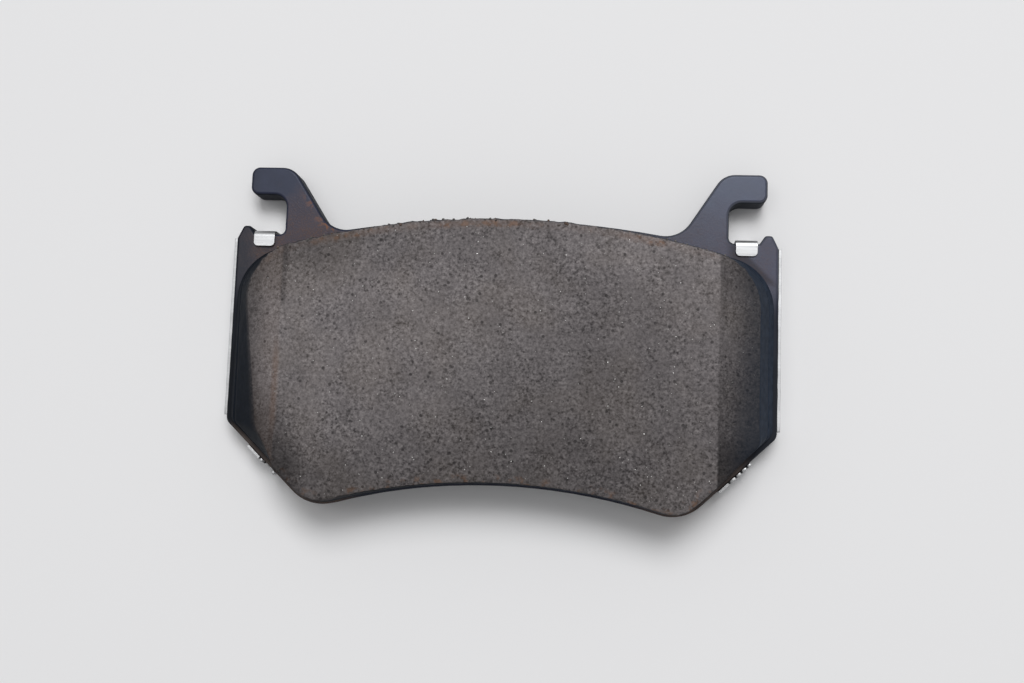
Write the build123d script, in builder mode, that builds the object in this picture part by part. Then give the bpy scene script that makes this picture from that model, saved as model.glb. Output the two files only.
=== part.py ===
from build123d import *
from math import cos, radians, sin, tan
import os

# Disc brake pad for a radially mounted caliper. The pad hangs from two hooks at its outer edge.
# +X runs along the pad, +Y points away from the wheel axis and +Z points at the disc.
# Heights along Y are given from the floor of the hook notches, and level() then puts the middle
# of the plate's outline on the origin. Z = 0 is the rear of the shim, where the pistons push.

# Backing plate
plate_width = 130.0
plate_thickness = 6.0
crown_rise = 4.7
crown_radius = 225.0
web_height = 63.4
bore_radius = 140.0
side_drop = 45.45
toe_angle = 43.5
side_corner_radius = 2.5
toe_radius = 10.0
die_roll = 0.7

# Hooks, notches and ears
hook_rise = 16.6
notch_height = 9.7
notch_width = 7.2
head_length = 9.0
arm_neck = 5.8
arm_slant = 33.0
head_back_radius = 5.0
head_tip_radius = 2.0
arm_root_radius = 7.0
notch_top_radius = 3.0
notch_floor_radius = 1.4
ear_width = 4.5
ear_rise = 2.0
ear_crest = 1.6
ear_inner_run = 1.4
ear_drop = 1.1
ear_radius = 0.8

# Keying holes through the plate, which the underlayer fills
keying_hole_diameter = 9.0
inner_hole_spacing = 34.0
outer_hole_spacing = 84.0
hole_row_drop = 26.0
outer_hole_drop = 5.0

# Friction block
film_thickness = 0.15
underlayer_thickness = 2.0
friction_thickness = 7.15
block_crown_inset = 1.5
block_edge_inset = 0.4
block_toe_inset = 1.2
block_side_inset = 1.1
block_corner_radius = 12.5
side_slope_run = 3.8
corner_slope_run = 1.9
toe_slope_run = 1.0
edge_draft_run = 0.3
end_chamfer_run = 9.7
end_chamfer_drop = 3.0

# Shim
sheet_thickness = 0.7
rubber_thickness = 0.1
core_thickness = 0.3
shim_adhesive_thickness = 0.1
sheet_inset = 1.2
core_inset = 1.6
fit_gap = 0.1
top_tab_lap = 3.1
top_tab_radius = 1.0
tab_arm_gap = 1.9
tab_ear_gap = 0.2
tab_block_gap = 1.2
flange_step = 1.0
flange_end_gap = 1.4
lower_tab_step = 0.5
lower_tab_length = 9.6
lower_tab_place = 13.0
lower_tab_teeth = 5
tooth_gap_width = 0.6

# Levels along Z
rear_rubber_level = sheet_thickness
core_level = rear_rubber_level + rubber_thickness
front_rubber_level = core_level + core_thickness
shim_adhesive_level = front_rubber_level + rubber_thickness
plate_rear = shim_adhesive_level + shim_adhesive_thickness
plate_front = plate_rear + plate_thickness
film_front = plate_front + film_thickness
underlayer_front = film_front + underlayer_thickness
pad_front = underlayer_front + friction_thickness
shoulder_level = pad_front - end_chamfer_drop

# Places in the outline
side_x = plate_width / 2
ear_foot_x = side_x - ear_width
notch_side_x = ear_foot_x - notch_width
hook_tip_x = notch_side_x + head_length
arm_run = tan(radians(arm_slant))
arm_back_x = notch_side_x - arm_neck + (hook_rise - notch_height) * arm_run
bore_rise = crown_rise - web_height
block_shoulder_drop = top_tab_lap + tab_block_gap
bend_radius = die_roll + fit_gap
lap_into_web = side_drop / 3
past_outline = 2 * (plate_width + web_height)


def toe_edge(side, inset=0.0, along=0.0):
    """Place on the sloping toe edge: moved into the plate by inset and down the edge by along."""
    turn = radians(toe_angle)
    x = side_x - inset * sin(turn) - along * cos(turn)
    y = -side_drop + inset * cos(turn) - along * sin(turn)
    return Location((side * x, y, 0), (0, 0, side * toe_angle))


def radius_over(reach, drop):
    """Radius of the arc that falls by this drop at this distance from its middle."""
    return (reach**2 + drop**2) / (2 * drop)


def both_corners(shape, x, y):
    """The corner of a mirrored outline nearest to (x, y), and its twin on the other side."""
    corners = shape.vertices()
    return [corners.sort_by_distance((side * x, y, 0))[0] for side in (1, -1)]


def pad_shape(width, crown, curve, bore_inset, toe_inset, toe_curve):
    """Bowed top edge, upright sides, sloping toe edges and an arc cut around the hub."""
    with BuildSketch() as shape:
        with Locations((0, crown - curve)):
            Circle(curve)
        with Locations((0, crown)):
            Rectangle(
                width, web_height + bore_radius, align=(Align.CENTER, Align.MAX), mode=Mode.INTERSECT
            )
        with Locations((0, bore_rise - bore_radius)):
            Circle(bore_radius + bore_inset, mode=Mode.SUBTRACT)
        with Locations(toe_edge(1, toe_inset), toe_edge(-1, toe_inset)):
            Rectangle(
                past_outline, past_outline, align=(Align.CENTER, Align.MAX), mode=Mode.SUBTRACT
            )
        fillet(shape.vertices().group_by(Axis.Y)[0], radius=toe_curve)
    return shape.sketch


def plate_shape():
    """Outline of the backing plate with its two hooks, notches and ears."""
    web = pad_shape(plate_width, crown_rise, crown_radius, 0, 0, toe_radius)
    root_x = arm_back_x - hook_rise * arm_run
    crest_x = ear_foot_x + ear_inner_run
    with BuildSketch() as shape:
        add(web)
        with BuildLine():
            Polyline(
                (root_x - lap_into_web * arm_run, -lap_into_web),
                (arm_back_x, hook_rise),
                (hook_tip_x, hook_rise),
                (hook_tip_x, notch_height),
                (notch_side_x, notch_height),
                (notch_side_x, 0),
                (ear_foot_x, 0),
                (crest_x, ear_rise),
                (crest_x + ear_crest, ear_rise),
                (side_x, -ear_drop),
                (side_x, -lap_into_web),
                close=True,
            )
        make_face()
        mirror(about=Plane.YZ)
        rounded = (
            (side_x, -side_drop, side_corner_radius),
            (root_x, 0, arm_root_radius),
            (arm_back_x, hook_rise, head_back_radius),
            (hook_tip_x, hook_rise, head_tip_radius),
            (hook_tip_x, notch_height, head_tip_radius),
            (notch_side_x, notch_height, notch_top_radius),
            (notch_side_x, 0, notch_floor_radius),
            (crest_x, ear_rise, ear_radius),
            (crest_x + ear_crest, ear_rise, ear_radius),
        )
        for x, y, radius in rounded:
            fillet(both_corners(shape, x, y), radius=radius)
    return shape.sketch


plate_face = plate_shape()
outline_middle = plate_face.bounding_box().center().Y
hole_places = [
    (side * spacing / 2, -drop)
    for side in (-1, 1)
    for spacing, drop in (
        (inner_hole_spacing, hole_row_drop),
        (outer_hole_spacing, hole_row_drop + outer_hole_drop),
    )
]


def level(height):
    """Plane of the pad's outline at this height above the rear of the shim."""
    return Plane(origin=(0, -outline_middle, height))


def upright(x, y, outward):
    """Plane for a bent sheet's section: its X axis points outward and its Y axis up along Z."""
    across = Vector(outward[0], outward[1], 0)
    return Plane(origin=(x, y - outline_middle, 0), x_dir=across, z_dir=across.cross(Vector(0, 0, 1)))


def finish(piece, label):
    """Name a finished piece and write it out."""
    piece.part.label = label
    export_step(piece.part, f"parts/{label}.step")


os.makedirs("parts", exist_ok=True)

# Backing plate: blanked steel with a rolled front edge
with BuildPart() as backing_plate:
    with BuildSketch(level(plate_rear)):
        add(plate_face)
    extrude(amount=plate_thickness)
    front = backing_plate.faces().sort_by(Axis.Z)[-1]
    fillet(front.outer_wire().edges(), radius=die_roll)
    with BuildSketch(level(plate_rear)):
        with Locations(hole_places):
            Circle(keying_hole_diameter / 2)
    extrude(amount=plate_thickness, mode=Mode.SUBTRACT)
finish(backing_plate, "backing_plate")


def block_shape(side_run, corner_run, toe_run, edge_run):
    """Outline of the friction block, drawn in by these runs from where it meets the plate."""
    crown = crown_rise - block_crown_inset - edge_run
    half = side_x - block_side_inset - side_run
    outline = pad_shape(
        2 * half,
        crown,
        radius_over(ear_foot_x - notch_width / 2, crown + block_shoulder_drop + corner_run),
        block_edge_inset + edge_run,
        block_toe_inset + toe_run,
        toe_radius - block_toe_inset,
    )
    with BuildSketch() as shape:
        add(outline)
        fillet(both_corners(shape, half, -block_shoulder_drop), radius=block_corner_radius)
        fillet(both_corners(shape, half, -side_drop), radius=side_corner_radius)
    return shape.sketch


# Friction block, in one piece as it leaves the mould and then ground at both ends
block_foot = block_shape(0, 0, 0, 0)
block_top = block_shape(side_slope_run, corner_slope_run, toe_slope_run, edge_draft_run)
block_edge_x = side_x - block_side_inset - side_slope_run
with BuildPart() as block:
    with BuildSketch(level(film_front)):
        add(block_foot)
    for height in (shoulder_level, pad_front):
        with BuildSketch(level(height)):
            add(block_top)
    loft(ruled=True)
    with BuildSketch(Plane.XZ):
        with BuildLine():
            Polyline(
                (block_edge_x, shoulder_level),
                (block_edge_x - end_chamfer_run, pad_front),
                (block_edge_x, pad_front + end_chamfer_drop),
                close=True,
            )
        make_face()
        mirror(about=Plane.YZ)
    extrude(amount=past_outline, both=True, mode=Mode.SUBTRACT)

# Underlayer: the insulating layer, with plugs that fill the plate's keying holes
with BuildPart() as underlayer:
    add(block.part)
    split(bisect_by=Plane.XY.offset(underlayer_front), keep=Keep.BOTTOM)
    with BuildSketch(level(plate_rear)):
        with Locations(hole_places):
            Circle(keying_hole_diameter / 2)
    extrude(amount=film_front - plate_rear)
finish(underlayer, "underlayer")

# Friction lining: the wearing layer that meets the disc
with BuildPart() as friction_lining:
    add(block.part)
    split(bisect_by=Plane.XY.offset(underlayer_front), keep=Keep.TOP)
finish(friction_lining, "friction_lining")

# Bonding film: cured adhesive between the plate and the block
with BuildPart() as bonding_film:
    with BuildSketch(level(plate_front)):
        add(block_foot)
        with Locations(hole_places):
            Circle(keying_hole_diameter / 2, mode=Mode.SUBTRACT)
    extrude(amount=film_thickness)
finish(bonding_film, "bonding_film")


def sheet_outline(inset):
    """Outline of a flat sheet behind the plate, this far inside the plate's edge."""
    return pad_shape(
        plate_width - 2 * inset,
        crown_rise - inset,
        crown_radius - inset,
        inset,
        inset,
        toe_radius - inset,
    )


# Inner shim: a steel core between two coats of rubber, held to the plate by adhesive
core_outline = sheet_outline(core_inset)
inner_layers = (
    ("shim_rear_rubber", rear_rubber_level, rubber_thickness),
    ("shim_core", core_level, core_thickness),
    ("shim_front_rubber", front_rubber_level, rubber_thickness),
    ("shim_adhesive", shim_adhesive_level, shim_adhesive_thickness),
)
for layer_name, base, thickness in inner_layers:
    with BuildPart() as layer:
        with BuildSketch(level(base)):
            add(core_outline)
        extrude(amount=thickness)
    finish(layer, layer_name)


def bent_sheet(plane, path, length):
    """Strip of shim sheet of this length, bent along a path drawn through half its thickness."""
    with BuildPart() as strip:
        with BuildSketch(plane):
            with BuildLine() as middle:
                FilletPolyline(*path, radius=bend_radius + half_sheet)
            trace(middle.line, line_width=sheet_thickness)
        extrude(amount=length)
    return strip.part


def edge_flange(plane, length, height):
    """Flange that stands up beside an edge of the plate."""
    path = ((-sheet_lead, half_sheet), (sheet_stand, half_sheet), (sheet_stand, height))
    return bent_sheet(plane, path, length)


# Outer shim: sprung stainless sheet with tabs and side flanges that hold it on the plate
half_sheet = sheet_thickness / 2
sheet_stand = fit_gap + half_sheet
sheet_lead = sheet_inset + 2 * (bend_radius + sheet_thickness)
lap_height = plate_front + half_sheet
tab_strip = bent_sheet(
    upright(notch_side_x + tab_arm_gap, 0, (0, 1)),
    (
        (-sheet_lead, half_sheet),
        (sheet_stand, half_sheet),
        (sheet_stand, lap_height),
        (-top_tab_lap, lap_height),
    ),
    notch_width - tab_arm_gap - tab_ear_gap,
)
with BuildPart() as top_tab:
    add(tab_strip)
    tips = top_tab.edges().filter_by(Axis.Z).filter_by_position(
        Axis.Z, plate_front, plate_front + sheet_thickness
    )
    fillet(tips.group_by(Axis.Y)[0], radius=top_tab_radius)

flange_length = side_drop - flange_end_gap - ear_drop
flange_top = plate_front - flange_step
side_flange = edge_flange(upright(side_x, -ear_drop, (1, 0)), flange_length, flange_top)

# Each lower tab's top edge is cut into teeth by V notches
toe_turn = radians(toe_angle)
tab_top = toe_edge(1, 0, lower_tab_place - lower_tab_length / 2).position
tab_section = upright(tab_top.X, tab_top.Y, (sin(toe_turn), -cos(toe_turn)))
tab_height = plate_front - lower_tab_step
plain_tab = edge_flange(tab_section, lower_tab_length, tab_height)
with BuildPart() as lower_tab:
    add(plain_tab)
    with BuildSketch(
        Plane(origin=tab_section.origin, x_dir=-tab_section.z_dir, z_dir=tab_section.x_dir)
    ):
        with Locations((-lower_tab_length / 2, tab_height)):
            with GridLocations(lower_tab_length / lower_tab_teeth, 0, lower_tab_teeth - 1, 1):
                RegularPolygon(radius=tooth_gap_width / 2, side_count=4)
    extrude(amount=2 * sheet_stand, mode=Mode.SUBTRACT)

sheet_face = sheet_outline(sheet_inset)
with BuildPart() as outer_shim:
    with BuildSketch(level(0)):
        add(sheet_face)
        with Locations((0, -ear_drop)):
            Rectangle(
                plate_width - 2 * sheet_inset, lap_into_web, align=(Align.CENTER, Align.MAX)
            )
    extrude(amount=sheet_thickness)
    for strip in (top_tab.part, side_flange, lower_tab.part):
        add(strip)
        add(strip.mirror(Plane.YZ))
finish(outer_shim, "outer_shim")
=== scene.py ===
import math
from functools import reduce

import bmesh
import bpy
from mathutils import Matrix, Vector, noise
from mathutils.bvhtree import BVHTree


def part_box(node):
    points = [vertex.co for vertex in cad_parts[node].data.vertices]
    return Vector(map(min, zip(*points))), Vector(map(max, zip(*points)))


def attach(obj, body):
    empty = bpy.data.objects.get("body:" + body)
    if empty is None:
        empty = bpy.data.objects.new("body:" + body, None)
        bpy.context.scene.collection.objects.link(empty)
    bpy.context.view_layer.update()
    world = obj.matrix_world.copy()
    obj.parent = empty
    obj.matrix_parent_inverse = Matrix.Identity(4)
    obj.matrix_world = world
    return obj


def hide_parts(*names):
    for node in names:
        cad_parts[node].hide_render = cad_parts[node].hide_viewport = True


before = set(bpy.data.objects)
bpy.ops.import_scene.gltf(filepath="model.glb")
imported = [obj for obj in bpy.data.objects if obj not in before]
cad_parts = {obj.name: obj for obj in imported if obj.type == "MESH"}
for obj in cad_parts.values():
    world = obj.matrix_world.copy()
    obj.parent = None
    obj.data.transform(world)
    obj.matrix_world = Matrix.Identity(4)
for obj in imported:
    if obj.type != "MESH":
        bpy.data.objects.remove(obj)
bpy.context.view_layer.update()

mm = 0.001


# Node boards: wires carry sums and masks, and any other node goes through add()
class Wire:
    def __init__(self, board, socket):
        self.board = board
        self.socket = socket

    def maths(self, operation, *values):
        return self.board.add("ShaderNodeMath", {"operation": operation}, dict(enumerate(values)))

    def __add__(self, other):
        return self.maths("ADD", self, other)

    def __sub__(self, other):
        return self.maths("SUBTRACT", self, other)

    def __mul__(self, other):
        return self.maths("MULTIPLY", self, other)

    def __rsub__(self, other):
        return self.maths("SUBTRACT", other, self)

    __radd__ = __add__
    __rmul__ = __mul__

    def size(self):
        return self.maths("ABSOLUTE", self)

    def least(self, other):
        return self.maths("MINIMUM", self, other)

    def most(self, other):
        return self.maths("MAXIMUM", self, other)

    def rise(self, low, high):
        # 0 below low, 1 above high and smooth between; low may be the larger
        values = {"Value": self, "From Min": low, "From Max": high}
        return self.board.add("ShaderNodeMapRange", {"interpolation_type": "SMOOTHSTEP"}, values)


class Board:
    def __init__(self, tree):
        self.tree = tree

    def add(self, kind, settings=None, values=None, output=0):
        node = self.tree.nodes.new(kind)
        for name, setting in (settings or {}).items():
            if name == "stops":
                self.placeStops(node.color_ramp, setting)
            else:
                setattr(node, name, setting)
        for name, value in (values or {}).items():
            socket = self.pick(node.inputs, name)
            if isinstance(value, Wire):
                self.tree.links.new(value.socket, socket)
            else:
                socket.default_value = value
        return Wire(self, self.pick(node.outputs, output))

    def pick(self, sockets, name):
        if isinstance(name, int):
            return sockets[name]
        named = [socket for socket in sockets if socket.name == name and socket.enabled]
        exact = [socket for socket in sockets if socket.identifier == name]
        return (named or exact)[0]

    def placeStops(self, ramp, stops):
        while len(ramp.elements) < len(stops):
            ramp.elements.new(0.5)
        for element, (place, colour) in zip(ramp.elements, stops):
            element.position = place
            element.color = (*colour, 1)

    def vectors(self, operation, first, second):
        # a colour or a vector with another one, or times a number
        values = {0: first, "Scale" if operation == "SCALE" else 1: second}
        return self.add("ShaderNodeVectorMath", {"operation": operation}, values, "Vector")


class Finish(Board):
    # a material: fixed values sit on the shader, and what varies is driven by wires
    def __init__(self, name, **fixed):
        self.material = bpy.data.materials.new(name)
        self.material.use_nodes = True
        super().__init__(self.material.node_tree)
        self.shader = self.tree.nodes["Principled BSDF"]
        for socket, value in fixed.items():
            self.shader.inputs[socket.replace("_", " ")].default_value = value
        self.place = self.add("ShaderNodeTexCoord", output="Object")
        self.x, self.y, self.z = self.split(self.place)

    def split(self, vector):
        node = self.add("ShaderNodeSeparateXYZ", values={"Vector": vector}).socket.node
        return [Wire(self, node.outputs[axis]) for axis in ("X", "Y", "Z")]

    def lay(self, stretch, shift):
        values = {"Vector": self.place, "Scale": stretch, "Location": (shift, shift, shift)}
        return self.add("ShaderNodeMapping", values=values)

    def grain(self, size, detail=2.0, roughness=0.5, stretch=(1, 1, 1), shift=0.0):
        values = {"Scale": 1 / size, "Detail": detail, "Roughness": roughness}
        values["Vector"] = self.lay(stretch, shift)
        return self.add("ShaderNodeTexNoise", values=values, output="Fac")

    def cells(self, size, shift=0.0):
        # how far each place is from its cell's middle, in cells
        values = {"Vector": self.lay((1, 1, 1), shift), "Scale": 1 / size}
        return self.add("ShaderNodeTexVoronoi", values=values, output="Distance")

    def mix(self, factor, first, second):
        first = first if isinstance(first, Wire) else (*first, 1)
        second = second if isinstance(second, Wire) else (*second, 1)
        values = {"Factor_Float": factor, "A_Color": first, "B_Color": second}
        return self.add("ShaderNodeMix", {"data_type": "RGBA"}, values, "Result_Color")

    def shade(self, colour, factor):
        # a colour times a number that varies
        return self.vectors("SCALE", colour, factor)

    def mark(self, name):
        return self.add("ShaderNodeAttribute", {"attribute_name": name}, output="Fac")

    def facing(self):
        # how far a face looks up or down, 0 on an upright wall
        normal = self.add("ShaderNodeNewGeometry", output="True Normal")
        return self.split(normal)[2].size()

    def zone(self, **sides):
        # 1 inside and 0 outside: a side gives where it starts and where it is full, in mm,
        # and the inner side is counted outwards from the pad's middle line
        along = {"left": self.x, "right": self.x, "bottom": self.y, "top": self.y}
        if "inner" in sides:
            along["inner"] = self.x.size()
        fades = [along[side].rise(start * mm, full * mm) for side, (start, full) in sides.items()]
        return reduce(Wire.__mul__, fades)

    def drive(self, **wires):
        for socket, wire in wires.items():
            self.tree.links.new(wire.socket, self.shader.inputs[socket.replace("_", " ")])

    def emboss(self, height, depth):
        # height runs from about 0 to 1 and depth is its full size
        values = {"Strength": 1.0, "Distance": depth, "Height": height}
        self.drive(Normal=self.add("ShaderNodeBump", values=values, output="Normal"))


# Making, painting and fitting a piece
def addObject(name, data):
    item = bpy.data.objects.new(name, data)
    bpy.context.scene.collection.objects.link(item)
    return item


def mergedCopy(node, gap=0.001 * mm):
    # a CAD mesh is loose triangles, so corners nearer than the gap are joined
    shape = bmesh.new()
    shape.from_mesh(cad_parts[node].data)
    bmesh.ops.remove_doubles(shape, verts=shape.verts, dist=gap)
    return shape


def pieceFrom(name, shape):
    mesh = bpy.data.meshes.new(name)
    shape.to_mesh(mesh)
    shape.free()
    return addObject(name, mesh)


def settle(piece):
    # turn live modifiers into plain mesh
    bpy.context.view_layer.update()
    graph = bpy.context.evaluated_depsgraph_get()
    mesh = bpy.data.meshes.new_from_object(piece.evaluated_get(graph), depsgraph=graph)
    piece.modifiers.clear()
    piece.data = mesh
    return piece


def roundOff(piece):
    for face in piece.data.polygons:
        face.use_smooth = True


def paint(piece, finish):
    piece.data.materials.clear()
    piece.data.materials.append(finish.material)


def fit(piece, slot, *nodes):
    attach(piece, "root")
    if nodes:
        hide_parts(*nodes)


def smooth(low, high, value):
    share = min(max((value - low) / (high - low), 0.0), 1.0)
    return share * share * (3 - 2 * share)


# Toe edges: the plate's sloping lower sides, which run down and in from its side corners
toeEdge = {
    "angle": math.radians(43.5),
    "corner": 62.05 * mm,       # the side corners, below the top of the hooks
}


def toeFrame(side):
    # the corner that one toe edge starts from, and the ways out of the plate and down the edge
    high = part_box("backing_plate")[1]
    slope = toeEdge["angle"]
    corner = Vector((side * high.x, high.y - toeEdge["corner"], 0))
    out = Vector((side * math.sin(slope), -math.cos(slope), 0))
    down = Vector((-side * math.cos(slope), -math.sin(slope), 0))
    return corner, out, down


# Friction lining
lining = {
    "voxel": 0.42 * mm,
    "skin": 0.6,                # the grain moves only points this near a face, in voxels
    "groundSlope": 0.9,         # faces flatter than this are ground, the rest keep their coat
    "flatSlope": 0.999,         # and flatter than this they lie between the end chamfers
    "crownSlope": 0.5,          # the crown wall is steeper than this
    "crownTurn": 0.6,           # and faces the hooks by more than this
    "grainSize": 2.1 * mm,
    "grainDepth": 0.05 * mm,
    "wallGrainDepth": 0.12 * mm,
    "grainLayers": (1.0, 2.0, 3),       # how each finer layer fades, how much finer, how many
    "foot": (0.2 * mm, 1.0 * mm),       # no grain below the first height, all above the second
    "chipSize": 1.3 * mm,
    "chipDepth": 0.34 * mm,
    "chipReach": 0.9 * mm,
    "chipShift": Vector((7.0, 3.0, 1.0)),
    "edgeChips": 0.25,          # share of the chips' depth on every edge of the ground face
    "crownChips": 0.75,         # and how much more of it on the crown edge
    "toeSteep": 0.8 * mm,       # the right toe's wall stands steeper than its twin
    "toeDeep": (7.0 * mm, 2.2 * mm),
    "toeLong": (2.0 * mm, 6.0 * mm),
    "lean": 0.139,              # the left end's top edge leans inwards down its length
    "leanFrom": 6.6 * mm,
    "leanLeast": 0.5 * mm,
    "sole": 0.25 * mm,          # points this near the foot are sunk into the underlayer
    "overlap": 0.35 * mm,
}


def splitTree(shape, wanted):
    points = [vertex.co for vertex in shape.verts]
    faces = [[v.index for v in face.verts] for face in shape.faces if wanted(face)]
    return BVHTree.FromPolygons(points, faces)


def away(tree, place):
    return tree.find_nearest(place)[3]


def chamferFigures(shape):
    # where the end chamfers start and end, and how low they come
    ground = [face for face in shape.faces if face.normal.z > lining["groundSlope"]]
    flat = [face for face in ground if face.normal.z > lining["flatSlope"]]
    lineX = max(v.co.x for face in flat for v in face.verts)
    edgeX = max(v.co.x for face in ground for v in face.verts)
    shoulder = min(v.co.z for face in ground for v in face.verts)
    return lineX, edgeX, shoulder


def roughen(place, normal, low, toGround, toWall, toCrown):
    # grain all over the skin, and chips along the ground face's edges, mostly at its crown
    if min(toGround, toWall) >= lining["voxel"] * lining["skin"]:
        return
    depth = lining["grainDepth"] if toGround < toWall else lining["wallGrainDepth"]
    ripple = noise.fractal(place / lining["grainSize"], *lining["grainLayers"])
    near = 1 - smooth(0, lining["chipReach"], max(toGround, toWall))
    nearCrown = 1 - smooth(0, lining["chipReach"], max(toGround, toCrown))
    chip = noise.noise(place / lining["chipSize"] + lining["chipShift"])
    share = lining["edgeChips"] * near + lining["crownChips"] * nearCrown
    push = depth * ripple + lining["chipDepth"] * chip * share
    fromFoot, toFull = lining["foot"]
    place += normal * push * smooth(low.z + fromFoot, low.z + toFull, place.z)


def steepenToe(place, low, high, toe):
    # push the toe's wall out, more so the higher and the nearer the edge
    corner, out, down = toe
    offset = place - corner
    rise = (place.z - low.z) / (high.z - low.z)
    push = rise * smooth(*lining["toeDeep"], -offset.dot(out))
    place += out * push * lining["toeSteep"] * smooth(*lining["toeLong"], offset.dot(down))


def leanEnd(place, low, high, figures):
    # slide the left end's chamfer edge inwards, up the slope of the chamfer itself
    lineX, edgeX, shoulder = figures
    share = min((-place.x - lineX) / (edgeX - lineX), 1.0)
    slopeTop = high.z - share * (high.z - shoulder)
    share *= min((place.z - low.z) / (slopeTop - low.z), 1.0)
    lean = lining["leanLeast"] + lining["lean"] * max(lining["leanFrom"] - place.y, 0)
    fall = (high.z - shoulder) / (edgeX - lineX)
    place.x += lean * share
    place.z += lean * share * fall


def keepReach(piece, name, reach):
    # distances in mm, kept on the mesh for its finish and its scatters
    attribute = piece.data.attributes.new(name, "FLOAT", "POINT")
    attribute.data.foreach_set("value", [distance / mm for distance in reach])


def closeFoot(piece, low):
    # a plain cap inside the underlayer takes the place of the remeshed underside
    shape = bmesh.new()
    shape.from_mesh(piece.data)
    shape.normal_update()
    slope = -lining["groundSlope"]
    under = [f for f in shape.faces if f.normal.z < slope and f.calc_center_median().z < low.z]
    bmesh.ops.delete(shape, geom=under, context="FACES")
    rim = [edge for edge in shape.edges if edge.is_boundary]
    bmesh.ops.holes_fill(shape, edges=rim)
    shape.to_mesh(piece.data)
    shape.free()


def makeLining():
    low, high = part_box("friction_lining")
    source = mergedCopy("friction_lining")
    source.normal_update()
    source.verts.index_update()
    figures = chamferFigures(source)
    slope, crownSlope, turn = lining["groundSlope"], lining["crownSlope"], lining["crownTurn"]
    ground = splitTree(source, lambda face: face.normal.z > slope)
    walls = splitTree(source, lambda face: -slope < face.normal.z <= slope)
    crown = splitTree(source, lambda face: abs(face.normal.z) < crownSlope and face.normal.y > turn)
    piece = pieceFrom("friction_block", source)
    remesh = piece.modifiers.new("remesh", "REMESH")
    remesh.mode = "VOXEL"
    remesh.voxel_size = lining["voxel"]
    settle(piece)
    toe = toeFrame(1)
    places, edgeReach, crownReach = [], [], []
    for vertex in piece.data.vertices:
        place = vertex.co.copy()
        toGround, toWall, toCrown = away(ground, place), away(walls, place), away(crown, place)
        edgeReach.append(toWall if toGround < toWall else -toGround)
        crownReach.append(toCrown)
        roughen(place, vertex.normal, low, toGround, toWall, toCrown)
        if place.x > 0:
            steepenToe(place, low, high, toe)
        if place.x < -figures[0]:
            leanEnd(place, low, high, figures)
        if place.z < low.z + lining["sole"]:
            place.z -= lining["overlap"]
        places.append(place)
    for vertex, place in zip(piece.data.vertices, places):
        vertex.co = place
    keepReach(piece, "edgeReach", edgeReach)
    keepReach(piece, "crownReach", crownReach)
    closeFoot(piece, low)
    roundOff(piece)
    return piece


frictionBlock = makeLining()
print("friction block:", len(frictionBlock.data.polygons), "faces")


# Ground friction compound, with the dark coat left on its walls
compound = {
    "base": (0.1475, 0.1350, 0.1378),
    "dark": (0.054, 0.0495, 0.0505),
    "light": (0.262, 0.241, 0.243),
    "pit": (0.0405, 0.037125, 0.037875),
    "rust": (0.2, 0.108, 0.062),
    "warm": (0.19, 0.14, 0.075),
    # the stain and the coat carry a blue tint, a painted reflection of blue surroundings
    "stain": (0.019, 0.025, 0.036),
    "coat": (0.0055, 0.0074, 0.0112),
    "coatLight": (0.00825, 0.0111, 0.0168),
    "mottle": {"size": 9 * mm, "detail": 3, "roughness": 0.55},
    "grit": {"size": 0.84 * mm, "roughness": 0.6, "shift": 3.0},
    "fineGrit": {"size": 0.4 * mm, "detail": 1, "shift": 5.0},
    "contrast": {"size": 5 * mm, "shift": 11.0},  # how strongly the grit shows
    "tint": {"size": 16 * mm, "shift": 13.0},
    "pits": {"size": 1.9 * mm, "shift": 1.0},
    "pitted": {"size": 3 * mm, "shift": 9.0},  # patches that have pits
    "ragged": {"size": 0.9 * mm, "detail": 3, "roughness": 0.6, "shift": 2.0},
    "rustSpots": {"size": 2.2 * mm, "roughness": 0.6, "shift": 4.0},
    "smear": {"size": 1.1 * mm, "detail": 3, "roughness": 0.65, "shift": 7.0},
    "rubbed": {"size": 3 * mm, "detail": 3, "roughness": 0.65, "shift": 10.0},
    "coatTone": {"size": 1.4 * mm, "shift": 6.0},
    "coatGrain": {"size": 0.8 * mm, "shift": 8.0},
    "depth": 0.09 * mm,
    # how much each grain moves the colour from dark to light, and how strong each mark is
    "gritShare": 0.94,
    "fineShare": 0.72,
    "mottleShare": 0.3,
    "warmMix": 0.07,
    "pitMix": 0.75,
    "rustMix": 0.75,
    "stainMix": 0.62,
    "brinkMix": 0.7,
    "roughness": 0.65,
    "bareRoughness": 0.25,      # added where the compound is bare
    "lowGrit": {"top": (-12, -30)},     # the grit shows more down here
    # painted light: the coat on the walls is paler towards the right end, lit from that side
    "coatLitRight": {"left": (-20, 55)},
    "crownRust": 0.75,
    "footRust": 0.7,
    "dragRust": 0.3,
    # stretches of the crown edge that are rustier, and places where rust sits elsewhere
    "rusty": (
        {"left": (-46, -42), "right": (-22, -28)},
        {"left": (-18, -14), "right": (8, 3)},
        {"left": (26, 29), "right": (40, 36)},
    ),
    "lowRust": {"top": (-24, -30)},
    "drag": {"bottom": (-27, -20), "top": (0, -9)},
    # the coat is rubbed off the toes' walls this far out and up, and off the left wall's top
    "rubbedToe": {"left": (-53, -51), "top": (-23, -26)},
    "rubbedOut": (31 * mm, 38 * mm),
    "rubbedUp": (11 * mm, 12.4 * mm),
    "outWander": (2 * mm, 9 * mm),      # how much raggedness and rubbing move those two limits
    "upWander": (0.8 * mm, 5 * mm),
    "scuffed": {"right": (-44, -50)},
}
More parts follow.
